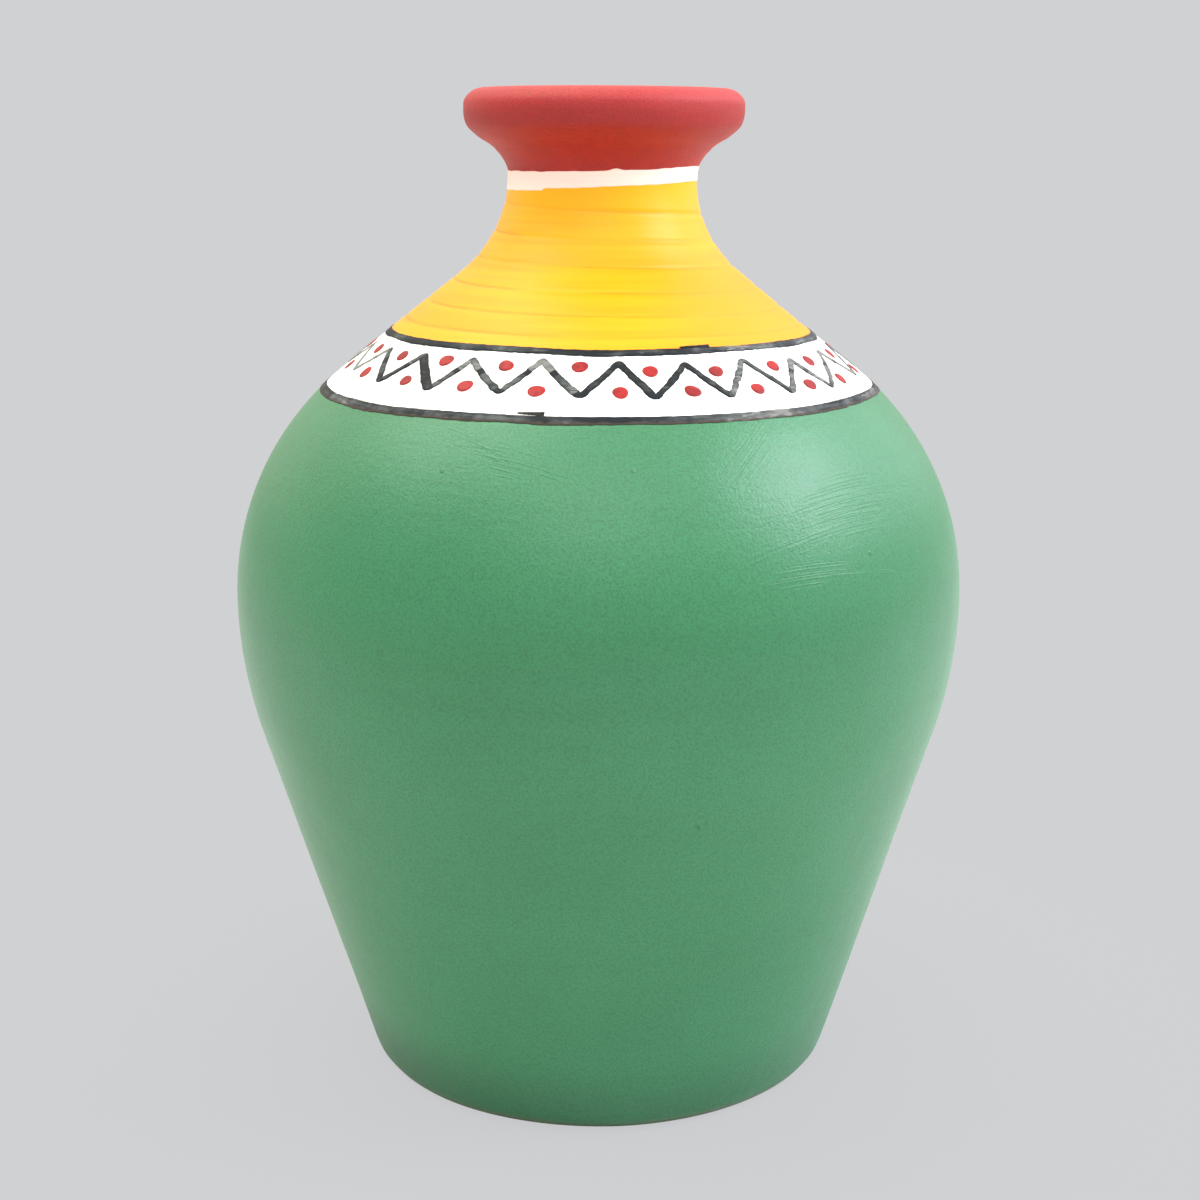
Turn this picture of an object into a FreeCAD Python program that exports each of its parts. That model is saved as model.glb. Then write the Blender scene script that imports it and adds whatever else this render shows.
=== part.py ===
import FreeCAD, Part
import math
import os
from FreeCAD import Vector

os.makedirs("parts", exist_ok=True)

# A wheel-thrown clay pot with a round belly, a narrow neck and a flared lip, painted in plain zones
# with a brushed pattern on its shoulder. Millimetres, +Z up, origin at the middle of the base.
# Curves are radii of the section; a curve is named after the place that it rounds.

# Foot and belly, bare clay
foot_radius = 38.1
foot_curve = 3.5
belly_radius = 57.5
belly_height = 77.0
low_belly_curve = 70.0
high_belly_curve = 45.0

# Straight shoulder up to the neck's narrowest place
shoulder_run = 24.3
neck_curve = 19.0
neck_radius = 14.4

# Lip: hollow throat, slanted underside, upright edge, rounded rim and flat top
throat_curve = 4.8
lip_underside = 2.3
lip_curve = 4.6
lip_radius = 21.5
lip_edge = 1.2
rim_curve = 2.0
rim_flat = 3.1

# Inside
wall = 5.0
floor_thickness = 7.0
floor_curve = 10.0

# Paint: thickness of a flat coat and of a brush mark on it
coat = 0.2
mark = 0.12

# Where the coats meet: bare strip over the table, white band below the neck, ring round the neck
bare_foot = 0.8
band_drop = 23.9
band_height = 8.3
ring_drop = 1.6
ring_height = 2.5
red_inside_depth = 3.8

# Black lines along the edges of the white band, their width measured along the slope
low_line_width = 1.3
high_line_width = 1.1

# Zigzag in the white band: gaps from the band's edges to the middle of the stroke
tooth_count = 22
first_peak_angle = -85.4
valley_gap = 3.0
peak_gap = 1.3
stroke_width = 1.0

# Dots, one over each valley and one under each peak, at a share of the way up from valley to band top
# and from band bottom to peak
dot_radius = 1.05
high_dot_share = 0.58
low_dot_share = 0.5

# Heights that follow from the sizes above
shoulder_reach = neck_radius + neck_curve - belly_radius + high_belly_curve
shoulder_span = math.hypot(shoulder_run, high_belly_curve + neck_curve)
neck_height = belly_height + math.sqrt(shoulder_span ** 2 - shoulder_reach ** 2)
lip_reach = lip_radius - lip_curve - neck_radius - throat_curve
lip_span = math.hypot(lip_underside, throat_curve + lip_curve)
lip_height = neck_height + math.sqrt(lip_span ** 2 - lip_reach ** 2)
rim_height = lip_height + lip_edge
top = rim_height + rim_curve
mouth_curve = lip_radius - rim_curve - rim_flat - neck_radius + wall
band_top = neck_height - band_drop
band_bottom = band_top - band_height
ring_bottom = neck_height - ring_drop
ring_top = ring_bottom + ring_height
valley_height = band_bottom + valley_gap
peak_height = band_top - peak_gap
high_dot_height = valley_height + high_dot_share * (band_top - valley_height)
low_dot_height = band_bottom + low_dot_share * (peak_height - band_bottom)

# Points closer than this are one point
touching = 1e-5


def clay_rollers(grow):
    """Circles that the section's outline rolls round, from the middle of the base to the cavity floor.

    Each is (radius from the axis, height, signed curve): plus where the clay bulges, minus where it is
    hollow. The inside runs parallel to the outside. grow moves the whole outline outwards by that much.
    """
    base = [
        (0, 0, 0),
        (foot_radius - foot_curve, foot_curve, foot_curve),
    ]
    flank = [
        (belly_radius - low_belly_curve, belly_height, low_belly_curve),
        (belly_radius - high_belly_curve, belly_height, high_belly_curve),
        (neck_radius + neck_curve, neck_height, -neck_curve),
    ]
    lip = [
        (neck_radius + throat_curve, neck_height, -throat_curve),
        (lip_radius - lip_curve, lip_height, lip_curve),
        (lip_radius - rim_curve, rim_height, rim_curve),
        (neck_radius - wall + mouth_curve, top - mouth_curve, mouth_curve),
    ]
    inside = [(radius, z, wall - curve) for radius, z, curve in reversed(flank)]
    cove_height = floor_thickness + floor_curve
    lean = (belly_radius - foot_radius) / belly_height
    cove_radius = foot_radius - wall - floor_curve + lean * cove_height
    floor = [
        (cove_radius, cove_height, -floor_curve),
        (0, floor_thickness, 0),
    ]
    rollers = base + flank + lip + inside + floor
    return [(Vector(radius, 0, z), curve + grow) for radius, z, curve in rollers]


def tangent(first, second):
    """End points of the straight run that touches two rollers; one point where the rollers touch."""
    (centre_a, curve_a), (centre_b, curve_b) = first, second
    gap = centre_b - centre_a
    rise = curve_b - curve_a
    square = gap.Length ** 2 - rise ** 2
    run = math.sqrt(square) if square > touching else 0
    way = (gap * run + Vector(gap.z, 0, -gap.x) * rise) * (1 / gap.Length ** 2)
    left = Vector(-way.z, 0, way.x)
    return centre_a - left * curve_a, centre_b - left * curve_b


def section(grow=0):
    """Half section of the thrown clay, from the axis outwards, with its outline moved out by grow."""
    rollers = clay_rollers(grow)
    runs = [tangent(a, b) for a, b in zip(rollers, rollers[1:])]
    edges = []
    for index, (start, end) in enumerate(runs):
        if start.distanceToPoint(end) > touching:
            edges.append(Part.makeLine(start, end))
        if index + 1 < len(runs):
            centre, curve = rollers[index + 1]
            leave = runs[index + 1][0]
            middle = centre + ((end + leave) * 0.5 - centre).normalize() * abs(curve)
            edges.append(Part.Arc(end, middle, leave).toShape())
    edges.append(Part.makeLine(runs[-1][1], runs[0][0]))
    return Part.Face(Part.Wire(edges))


def turn(face):
    """Full turn of a section face round the pot's axis."""
    return face.revolve(Vector(0, 0, 0), Vector(0, 0, 1), 360)


def painted_surface(z):
    """Point of the coats' outside at height z in the section plane, and its outward normal."""
    painted = section(coat)
    radii = []
    for level in (z, z - touching, z + touching):
        ray = Part.makeLine(Vector(0, 0, level), Vector(2 * belly_radius, 0, level))
        radii.append(max(corner.X for corner in painted.common(ray).Vertexes))
    point, below, above = radii
    return Vector(point, 0, z), Vector(2 * touching, 0, below - above).normalize()


def film(under, over, low, high):
    """Layer of paint between two outlines and two heights: the outermost one at those heights."""
    reach = 2 * belly_radius
    corners = [(0, low), (reach, low), (reach, high), (0, high), (0, low)]
    zone = Part.Face(Part.makePolygon([Vector(radius, 0, z) for radius, z in corners]))
    layers = section(over).cut(section(under)).common(zone).Faces
    return turn(max(layers, key=lambda face: face.BoundBox.XMax))


def rim_film():
    """Red coat over the lip, from the neck outside to a little way down the mouth inside."""
    bare_mouth = Part.makeCylinder(neck_radius - wall / 2, top - red_inside_depth)
    return film(0, coat, ring_top, top + coat).cut(bare_mouth)


def line_film(z, width):
    """Brushed line round the pot, its width measured along the slope and its middle at height z."""
    normal = painted_surface(z)[1]
    half = width / 2 * normal.x
    return film(coat, coat + mark, z - half, z + half)


def zigzag_outline(ends, shift):
    """Closed zigzag seen from above, between the two ends of a tooth, moved up the slope by shift."""
    corners = []
    for index in range(2 * tooth_count):
        point, normal = ends[index % 2]
        radius = point.x - shift * normal.z
        angle = math.radians(first_peak_angle + index * 180 / tooth_count)
        corners.append(Vector(radius * math.cos(angle), radius * math.sin(angle), 0))
    return Part.Face(Part.makePolygon(corners + corners[:1]))


def zigzag():
    """One closed stroke of even width round the shoulder, with mitred peaks and valleys."""
    ends = [painted_surface(peak_height), painted_surface(valley_height)]
    peak, valley = ends[0][0], ends[1][0]
    half_pitch = math.pi / tooth_count * (peak.x + valley.x) / 2
    slant = peak.distanceToPoint(valley)
    mitre = stroke_width / 2 * math.hypot(half_pitch, slant) / half_pitch
    plan = zigzag_outline(ends, -mitre).cut(zigzag_outline(ends, mitre))
    layer = film(coat, coat + mark, valley_height - 2 * mitre, peak_height + 2 * mitre)
    return layer.common(plan.extrude(Vector(0, 0, top)))


def dots(z, angle):
    """Ring of round dabs of paint at height z, the first at the given angle."""
    point, normal = painted_surface(z)
    reach = dot_radius / 2
    dab = Part.makeCylinder(dot_radius, 2 * reach, point - normal * reach, normal)
    layer = film(coat, coat + mark, z - 2 * dot_radius, z + 2 * dot_radius)
    dot = layer.common(dab).Solids[0]
    copies = []
    for index in range(tooth_count):
        copy = dot.copy()
        copy.rotate(Vector(0, 0, 0), Vector(0, 0, 1), angle + index * 360 / tooth_count)
        copies.append(copy)
    return Part.makeCompound(copies)


subparts = {
    "clay_body": turn(section()),
    "green_belly_coat": film(0, coat, bare_foot, band_bottom),
    "white_shoulder_band": film(0, coat, band_bottom, band_top),
    "yellow_neck_coat": film(0, coat, band_top, ring_bottom),
    "white_neck_ring": film(0, coat, ring_bottom, ring_top),
    "red_rim_coat": rim_film(),
    "lower_black_line": line_film(band_bottom, low_line_width),
    "upper_black_line": line_film(band_top, high_line_width),
    "black_zigzag": zigzag(),
    "upper_red_dots": dots(high_dot_height, first_peak_angle + 180 / tooth_count),
    "lower_red_dots": dots(low_dot_height, first_peak_angle),
}

for name, shape in subparts.items():
    shape.exportStep(f"parts/{name}.step")
    print(name, len(shape.Solids), "solids", round(shape.Volume, 2), "mm3", shape.isValid())
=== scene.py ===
import math

import bmesh
import bpy
import numpy as np
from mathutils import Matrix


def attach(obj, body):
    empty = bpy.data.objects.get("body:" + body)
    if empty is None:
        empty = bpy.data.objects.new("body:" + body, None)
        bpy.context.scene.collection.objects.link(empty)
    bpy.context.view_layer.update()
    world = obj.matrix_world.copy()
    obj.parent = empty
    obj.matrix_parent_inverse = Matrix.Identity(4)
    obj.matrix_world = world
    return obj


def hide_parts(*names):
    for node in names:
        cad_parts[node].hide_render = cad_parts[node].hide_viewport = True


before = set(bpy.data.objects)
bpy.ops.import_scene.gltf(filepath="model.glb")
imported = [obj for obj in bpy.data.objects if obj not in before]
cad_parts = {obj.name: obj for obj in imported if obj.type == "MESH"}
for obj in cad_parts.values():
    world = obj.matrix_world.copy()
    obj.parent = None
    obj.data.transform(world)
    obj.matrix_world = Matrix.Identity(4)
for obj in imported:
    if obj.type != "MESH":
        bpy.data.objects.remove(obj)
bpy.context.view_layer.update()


# --------------------------------------------------------------------------------------------------
# The thrown pot. Red earthenware, thrown on the wheel in one piece with foot, belly, shoulder, neck
# and lip, then cut off the wheel with a wire and fired. The potter's fingers left one long spiral
# groove on the shoulder and a slightly uneven lip. All the paint lies on it.

mm = 0.001

# Curves are radii of the section, named after the place that they round
foot_radius = 38.1 * mm
foot_curve = 3.5 * mm
belly_radius = 57.5 * mm
belly_height = 77.0 * mm
low_belly_curve = 70.0 * mm
high_belly_curve = 45.0 * mm
shoulder_run = 24.3 * mm
neck_curve = 19.0 * mm
neck_radius = 14.4 * mm
throat_curve = 4.8 * mm
lip_underside = 2.3 * mm
lip_curve = 4.6 * mm
lip_radius = 21.5 * mm
lip_edge = 1.2 * mm
rim_curve = 2.0 * mm
rim_flat = 3.1 * mm
wall = 5.0 * mm
floor_thickness = 7.0 * mm
floor_curve = 10.0 * mm

shoulder_reach = neck_radius + neck_curve - belly_radius + high_belly_curve
shoulder_span = math.hypot(shoulder_run, high_belly_curve + neck_curve)
neck_height = belly_height + math.sqrt(shoulder_span ** 2 - shoulder_reach ** 2)
lip_reach = lip_radius - lip_curve - neck_radius - throat_curve
lip_span = math.hypot(lip_underside, throat_curve + lip_curve)
lip_height = neck_height + math.sqrt(lip_span ** 2 - lip_reach ** 2)
rim_height = lip_height + lip_edge
top = rim_height + rim_curve
mouth_curve = lip_radius - rim_curve - rim_flat - neck_radius + wall

# Gap between the points of the outline, and the gap below which two points are one
fineness = 0.1 * mm
touching = 0.001 * mm


def rollers(grow):
    """Circles that the section rolls round, with its outline moved out by grow.

    Each is its centre, as radius + height j, and its curve, which is plus where the clay bulges.
    """
    flank = [
        (belly_radius - low_belly_curve, belly_height, low_belly_curve),
        (belly_radius - high_belly_curve, belly_height, high_belly_curve),
        (neck_radius + neck_curve, neck_height, -neck_curve),
    ]
    lip = [
        (neck_radius + throat_curve, neck_height, -throat_curve),
        (lip_radius - lip_curve, lip_height, lip_curve),
        (lip_radius - rim_curve, rim_height, rim_curve),
        (neck_radius - wall + mouth_curve, top - mouth_curve, mouth_curve),
    ]
    inside = [(radius, height, wall - curve) for radius, height, curve in reversed(flank)]
    cove_height = floor_thickness + floor_curve
    flare = (belly_radius - foot_radius) / belly_height
    cove_radius = foot_radius - wall - floor_curve + flare * cove_height
    base = [(0, 0, 0), (foot_radius - foot_curve, foot_curve, foot_curve)]
    floor = [(cove_radius, cove_height, -floor_curve), (0, floor_thickness, 0)]
    circles = base + flank + lip + inside + floor
    return [(complex(radius, height), curve + grow) for radius, height, curve in circles]


def tangent(first, second):
    """Ends of the straight run that touches two circles."""
    (centre_a, curve_a), (centre_b, curve_b) = first, second
    gap = centre_b - centre_a
    rise = curve_b - curve_a
    run = math.sqrt(max(abs(gap) ** 2 - rise ** 2, 0))
    left = gap * (run - 1j * rise) * 1j / abs(gap) ** 2
    return centre_a - left * curve_a, centre_b - left * curve_b


def outline(grow=0.0):
    """Close points along the section, from the base's middle over the lip to the inner floor."""
    circles = rollers(grow)
    runs = [tangent(a, b) for a, b in zip(circles, circles[1:])]
    points = []
    for index, (start, end) in enumerate(runs):
        steps = max(1, round(abs(end - start) / fineness))
        points += list(np.linspace(start, end, steps + 1))
        if index + 1 < len(runs):
            centre = circles[index + 1][0]
            spoke = end - centre
            sweep = np.angle((runs[index + 1][0] - centre) / spoke)
            steps = max(1, round(abs(sweep * spoke) / fineness))
            points += list(centre + spoke * np.exp(1j * np.linspace(0, sweep, steps + 1)[1:-1]))
    points = np.array(points)
    gaps = np.abs(np.diff(points, prepend=points[0] - 1))
    return points[gaps > touching]


def lengths(points):
    """Length along the points up to each of them."""
    return np.concatenate([[0.0], np.cumsum(np.abs(np.diff(points)))])


def station(points, height, inside=False):
    """Length along the section up to a height, going up outside or coming down inside."""
    rim = int(np.argmax(points.imag))
    along = lengths(points)
    if inside:
        return float(np.interp(-height, -points.imag[rim:], along[rim:]))
    return float(np.interp(height, points.imag[:rim + 1], along[:rim + 1]))


def girth(points, along):
    """Radius of the pot at a length along the section."""
    return float(np.interp(along, lengths(points), points.real))


def stretch(points, start, stop, spacing):
    """Evenly spaced points between two lengths along the section, in either direction."""
    count = max(2, round(abs(stop - start) / spacing) + 1)
    return np.interp(np.linspace(start, stop, count), lengths(points), points)


class Wire:
    """One output of a node. Arithmetic on it adds Math nodes to its tree."""

    def __init__(self, bench, socket):
        self.bench = bench
        self.socket = socket

    def other(self, name):
        """Another output of the same node."""
        return Wire(self.bench, self.socket.node.outputs[name])

    def __add__(self, value):
        return self.bench.maths("ADD", self, value)

    def __radd__(self, value):
        return self.bench.maths("ADD", value, self)

    def __sub__(self, value):
        return self.bench.maths("SUBTRACT", self, value)

    def __rsub__(self, value):
        return self.bench.maths("SUBTRACT", value, self)

    def __mul__(self, value):
        return self.bench.maths("MULTIPLY", self, value)

    def __rmul__(self, value):
        return self.bench.maths("MULTIPLY", value, self)

    def __truediv__(self, value):
        return self.bench.maths("DIVIDE", self, value)

    def __neg__(self):
        return self.bench.maths("MULTIPLY", self, -1.0)


class Bench:
    """A node tree that is being wired up."""

    def __init__(self, tree):
        self.tree = tree

    def node(self, kind, sockets=None, output=0, **settings):
        """New node with its settings, then the values or links of its sockets: one output of it."""
        made = self.tree.nodes.new(kind)
        for name, value in settings.items():
            setattr(made, name, value)
        for key, value in (sockets or {}).items():
            if isinstance(value, Wire):
                self.tree.links.new(value.socket, made.inputs[key])
            else:
                made.inputs[key].default_value = value
        return Wire(self, made.outputs[output]) if len(made.outputs) else None

    def maths(self, operation, first, second=0.0):
        return self.node("ShaderNodeMath", {0: first, 1: second}, operation=operation)

    def smooth(self, value, start, stop, low=0.0, high=1.0):
        """Value eased from low to high between start and stop."""
        sockets = {"Value": value, "From Min": start, "From Max": stop}
        sockets |= {"To Min": low, "To Max": high}
        return self.node("ShaderNodeMapRange", sockets, interpolation_type="SMOOTHSTEP")

    def between(self, value, start, full, ebb, stop):
        """One where the value is between full and ebb, eased to nothing at start and stop."""
        return self.smooth(value, start, full) * self.smooth(value, stop, ebb)

    def split(self, vector):
        parts = self.node("ShaderNodeSeparateXYZ", {0: vector})
        return parts, parts.other("Y"), parts.other("Z")

    def vector(self, x, y, z):
        return self.node("ShaderNodeCombineXYZ", {"X": x, "Y": y, "Z": z})

    def noise(self, place, scale, detail=2.0, roughness=0.5):
        sockets = {"Vector": place, "Scale": scale, "Detail": detail, "Roughness": roughness}
        return self.node("ShaderNodeTexNoise", sockets)

    def streaked(self, place, along, up, detail=2.0, roughness=0.5):
        """Noise with one scale round the pot and another up it."""
        sockets = {0: place, 1: (along, along, up)}
        place = self.node("ShaderNodeVectorMath", sockets, operation="MULTIPLY")
        return self.noise(place, 1.0, detail, roughness)

    def mix(self, factor, first, second):
        return self.node("ShaderNodeMix", {0: factor, 6: first, 7: second}, 2, data_type="RGBA")


# The groove goes once round the pot for each turn of the wheel and climbs a little less near the
# belly. Its sizes are in millimetres. Its reach is the heights where it begins, is full, and ends
first_groove = 137.15
groove_climb = 4.35
groove_easing = 0.38
groove_width = 0.27
groove_reach = (117 * mm, 120 * mm, 138.5 * mm, 140.5 * mm)


def groove(bench, around, height):
    """How deep the spiral groove is at a place, from 0 to 1."""
    drop = first_groove - height / mm
    square = bench.maths("MAXIMUM", groove_climb ** 2 - 2 * groove_easing * drop, 0.0)
    climb = bench.maths("SQRT", square)
    turns = (groove_climb - climb) / groove_easing - around / math.tau
    apart = bench.maths("ABSOLUTE", turns - bench.maths("ROUND", turns)) * climb / groove_width
    return bench.maths("EXPONENT", -(apart * apart)) * bench.between(height, *groove_reach)


def new_tree(name, **inputs):
    """Empty tree of geometry nodes with named inputs: its bench and its input wires by name."""
    tree = bpy.data.node_groups.new(name, "GeometryNodeTree")
    for socket, kind in inputs.items():
        tree.interface.new_socket(socket, in_out="INPUT", socket_type="NodeSocket" + kind)
    bench = Bench(tree)
    first = bench.node("NodeGroupInput")
    return bench, {socket: first.other(socket) for socket in inputs}


def outlet(bench, wire, name="Geometry", kind="Geometry"):
    bench.tree.interface.new_socket(name, in_out="OUTPUT", socket_type="NodeSocket" + kind)
    bench.node("NodeGroupOutput", {0: wire})


# What the potter's hand does to a true shape: the groove, a slight oval and waver, a throat fuller
# below and thinner above than it should be, a rim worn round, a neck that leans, and a lip that is
# a little high on one side. Heights and radii say where each begins, is full, and ends
groove_depth = 0.16 * mm
oval = 0.12 * mm
oval_turned = 0.8
waver = 0.5 * mm
waver_radii = (0.0, 12 * mm)
full_throat = 0.3 * mm
full_throat_heights = (142 * mm, 145 * mm, 145.5 * mm, 147.5 * mm)
thin_throat = 0.42 * mm
thin_throat_heights = (145.5 * mm, 147 * mm, 147.8 * mm, 149.6 * mm)
throat_radii = (11 * mm, 13 * mm)
worn_rim = 0.55 * mm
worn_heights = (152.6 * mm, 155.2 * mm)
worn_radii = (17 * mm, 20 * mm)
neck_lean = 0.027
upright_below = 120 * mm
lean_heights = (112 * mm, 128 * mm)
lip_tilt = 0.1 * mm
tilt_heights = (144 * mm, 152 * mm)

hand, wire = new_tree("potters hand", Place="Vector")
place = wire["Place"]
x, y, z = hand.split(place)
radius = hand.maths("SQRT", x * x + y * y)
around = hand.maths("ARCTAN2", x, -y)
pressed = groove(hand, around, z) * hand.smooth(hand.noise(place, 90.0), 0.3, 0.6, 0.5, 1.1)
uneven = oval * hand.maths("COSINE", around * 2.0 + oval_turned)
uneven = uneven + waver * (hand.noise(place, 28.0) - 0.5)
throat = full_throat * hand.between(z, *full_throat_heights)
throat = throat - thin_throat * hand.between(z, *thin_throat_heights)
throat = throat * hand.smooth(radius, *throat_radii)
rim = worn_rim * hand.smooth(z, *worn_heights) * hand.smooth(radius, *worn_radii)
shift = uneven * hand.smooth(radius, *waver_radii) - groove_depth * pressed + throat - rim
swell = 1.0 + shift / hand.maths("MAXIMUM", radius, 0.1 * mm)
aside = neck_lean * (z - upright_below) * hand.smooth(z, *lean_heights)
lift = -lip_tilt * x / lip_radius * hand.smooth(z, *tilt_heights)
outlet(hand, hand.vector(x * swell + aside, y * swell, z + lift), "Place", "Vector")


def by_hand(bench, place):
    return bench.node("GeometryNodeGroup", {"Place": place}, node_tree=hand.tree)


def round_the_axis(bench, radius, angle, height):
    """Place at an angle counted from the front to the right."""
    sideways = radius * bench.maths("SINE", angle)
    return bench.vector(sideways, -(radius * bench.maths("COSINE", angle)), height)


def done(bench, mesh, material):
    """Last nodes of a tree that makes a mesh: seams closed, shading smooth, and the finish."""
    sockets = {"Geometry": mesh, "Distance": touching}
    closed = bench.node("GeometryNodeMergeByDistance", sockets)
    smooth = bench.node("GeometryNodeSetShadeSmooth", {"Geometry": closed})
    real = bench.node("GeometryNodeRealizeInstances", {"Geometry": smooth})
    sockets = {"Geometry": real, "Material": material}
    outlet(bench, bench.node("GeometryNodeSetMaterial", sockets))


# A section, as a row of points, is thrown round the axis in a number of facets
wheel, wire = new_tree("thrown on the wheel", Section="Geometry", Facets="Int", Finish="Material")
rows = wheel.node("GeometryNodeAttributeDomainSize", {"Geometry": wire["Section"]})
sockets = {"Vertices X": wire["Facets"] + 1.0, "Vertices Y": rows}
blank = wheel.node("GeometryNodeMeshGrid", sockets)
index = wheel.node("GeometryNodeInputIndex")
column = wheel.maths("FLOOR", index / rows)
place = wheel.node("GeometryNodeInputPosition")
sockets = {"Geometry": wire["Section"], "Value": place, "Index": index - column * rows}
point = wheel.node("GeometryNodeSampleIndex", sockets, data_type="FLOAT_VECTOR")
x, _, z = wheel.split(point)
place = by_hand(wheel, round_the_axis(wheel, x, column * math.tau / wire["Facets"], z))
blank = wheel.node("GeometryNodeSetPosition", {"Geometry": blank, "Position": place})
done(wheel, blank, wire["Finish"])


def placed(name, data):
    """New object in the scene."""
    thing = bpy.data.objects.new(name, data)
    bpy.context.scene.collection.objects.link(thing)
    return thing


def baked(name, mesh, bench, **inputs):
    """Object with the mesh put through a tree and made a plain mesh whose faces point outwards."""
    piece = placed(name, mesh)
    modifier = piece.modifiers.new(name, "NODES")
    modifier.node_group = bench.tree
    for socket in bench.tree.interface.items_tree:
        if socket.in_out == "INPUT" and socket.name in inputs:
            modifier[socket.identifier] = inputs[socket.name]
    graph = bpy.context.evaluated_depsgraph_get()
    plain = bpy.data.meshes.new_from_object(piece.evaluated_get(graph))
    piece.modifiers.clear()
    piece.data = plain
    shell = bmesh.new()
    shell.from_mesh(plain)
    bmesh.ops.recalc_face_normals(shell, faces=shell.faces)
    shell.to_mesh(plain)
    shell.free()
    return piece


def strung(name, section):
    """Mesh of a section given as radius + height j, each point joined to the next."""
    mesh = bpy.data.meshes.new(name)
    edges = [(index, index + 1) for index in range(len(section) - 1)]
    mesh.from_pydata([(point.real, 0, point.imag) for point in section], edges, [])
    return mesh


def thrown(name, section, finish, facets):
    """Turned piece of a section."""
    return baked(name, strung(name, section), wheel, Facets=facets, Finish=finish)


def hand_over(piece, node):
    """The piece hangs from the root, and the imported part of its node is hidden."""
    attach(piece, "root")
    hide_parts(node)


def pigment(red, green, blue):
    """Linear colour of one given as it looks on a screen, 0 to 255."""
    linear = []
    for shade in (red / 255, green / 255, blue / 255):
        linear.append(shade / 12.92 if shade <= 0.04045 else ((shade + 0.055) / 1.055) ** 2.4)
    return (*linear, 1.0)


def new_finish(name):
    """New material: itself, its bench, and the place on the pot."""
    material = bpy.data.materials.new(name)
    material.use_nodes = True
    material.node_tree.nodes.clear()
    bench = Bench(material.node_tree)
    return material, bench, bench.node("ShaderNodeTexCoord", output="Object")


def way_round(bench, place):
    """Angle of a place round the pot, counted from the front to the right, and its height."""
    x, y, height = bench.split(place)
    return bench.maths("ARCTAN2", x, -y), height


def coated(bench, colour, roughness, relief, shine):
    """Shader of a finish. Relief is its bump in millimetres."""
    normal = bench.node("ShaderNodeBump", {"Distance": mm, "Height": relief})
    sockets = {"Base Color": colour, "Roughness": roughness, "Normal": normal}
    sockets |= {"Specular IOR Level": shine}
    shader = bench.node("ShaderNodeBsdfPrincipled", sockets)
    bench.node("ShaderNodeOutputMaterial", {"Surface": shader})


bare_clay = pigment(176, 104, 74)
dark_clay = pigment(142, 78, 54)
pale_speck = pigment(205, 150, 118)

clay, bench, place = new_finish("fired clay")
cloud = bench.noise(place, 60.0, 3.0)
rings = bench.streaked(place, 40.0, 900.0)
speck = bench.smooth(bench.noise(place, 1500.0, 1.0), 0.66, 0.72)
colour = bench.mix(bench.smooth(cloud * 0.6 + rings * 0.4, 0.35, 0.65), dark_clay, bare_clay)
colour = bench.mix(speck * 0.6, colour, pale_speck)
relief = rings * 0.06 + bench.noise(place, 1200.0, 3.0) * 0.05 - speck * 0.02
coated(bench, colour, 0.82 + 0.12 * cloud, relief, 0.3)

bare = outline()
band_drop = 23.9 * mm
band_height = 8.3 * mm
band_top = neck_height - band_drop
band_bottom = band_top - band_height

# Points lie closest where paint and groove follow the clay: foot and belly, shoulder, neck and lip,
# then down inside as far as the belly and on to the floor
spacings = [1.8 * mm, 0.5 * mm, 0.4 * mm, 2.2 * mm, 1.6 * mm]
outside = [0, station(bare, band_bottom), station(bare, neck_height), station(bare, top)]
inside = [station(bare, belly_height, True), lengths(bare)[-1]]
stops = outside + inside
rows = [stretch(bare, *ends)[:-1] for ends in zip(stops, stops[1:], spacings)]
section = np.concatenate(rows + [bare[-1:]])
hand_over(thrown("thrown_clay_pot", section, clay, facets=256), "clay_body")


# --------------------------------------------------------------------------------------------------
# White ground on the shoulder. A flat coat of white emulsion paint between the belly and the neck,
# put on with a broad brush while the pot turned, for the brushwork to go on.

coat = 0.2 * mm
painted = outline(coat)


def layer(low, high, spacing, high_inside=False):
    """Section of a coat between two heights: up its face and back down along the clay."""
    rows = []
    for points, way in ((painted, 1), (bare, -1)):
        ends = [station(points, low), station(points, high, high_inside)][::way]
        rows.append(stretch(points, *ends, spacing if way > 0 else 2 * spacing))
    return np.concatenate(rows + [rows[0][:1]])


chalk_white = pigment(246, 245, 242)
thin_white = pigment(236, 231, 226)

white, bench, place = new_finish("white emulsion")
brushed = bench.streaked(place, 120.0, 1500.0, 3.0)
cloud = bench.noise(place, 110.0, 2.0)
colour = bench.mix(bench.smooth(brushed * 0.5 + cloud * 0.5, 0.35, 0.6), thin_white, chalk_white)
relief = brushed * 0.02 + bench.noise(place, 2200.0) * 0.012
coated(bench, colour, 0.5, relief, 0.35)

section = layer(band_bottom, band_top, 0.6 * mm)
hand_over(thrown("white_shoulder_ground", section, white, facets=384), "white_shoulder_band")


# --------------------------------------------------------------------------------------------------
# Green belly. Matt emulsion paint brushed over the whole belly down to the foot, crosswise near the
# shoulder, so that bristle marks catch the light there. Grit in the clay stands up under it.

bare_foot = 0.8 * mm

# Heights where bristle marks, painted shade at the foot and thin paint over the clay begin and are
# full, and how far off the widest place the painted shade reaches
brushed_heights = (85 * mm, 100 * mm)
foot_shade_heights = (15 * mm, 3 * mm)
thin_heights = (3.2 * mm, 1.2 * mm)
painted_shade_reach = 16 * mm

leaf_green = pigment(44, 117, 76)
deep_green = pigment(40, 113, 72)
clay_shows = pigment(96, 92, 64)
# Black that darkens a colour, for painted shade and for random grain
shade_and_grain_black = (0, 0, 0, 1)

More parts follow.
